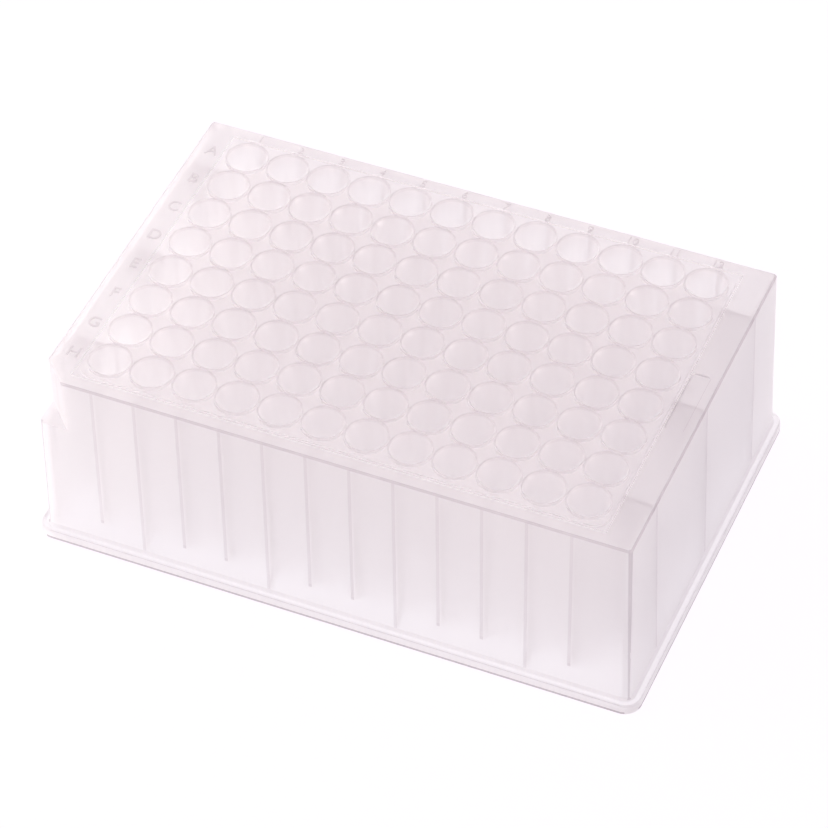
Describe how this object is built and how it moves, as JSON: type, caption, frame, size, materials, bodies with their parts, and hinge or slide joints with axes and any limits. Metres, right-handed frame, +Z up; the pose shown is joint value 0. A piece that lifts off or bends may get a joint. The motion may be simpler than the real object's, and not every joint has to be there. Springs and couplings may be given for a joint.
{
  "type": "deep-well plate",
  "caption": "Deep-well laboratory plate: a tall translucent block of round wells in a drafted skirt with a base flange and one notched corner.",
  "frame": {"origin": "centre of the footprint on the base plane that the flange rests on", "axes": "+X along the rows towards the last column, +Y along the columns towards the first row, +Z up out of the well mouths; the notched corner is at -X, -Y"},
  "size_m": [0.1278, 0.0854, 0.0438],
  "materials": {
    "plate": "natural translucent polypropylene, satin"
  },
  "bodies": {
    "root": {"well_plate": "plate"}
  },
  "joints": []
}
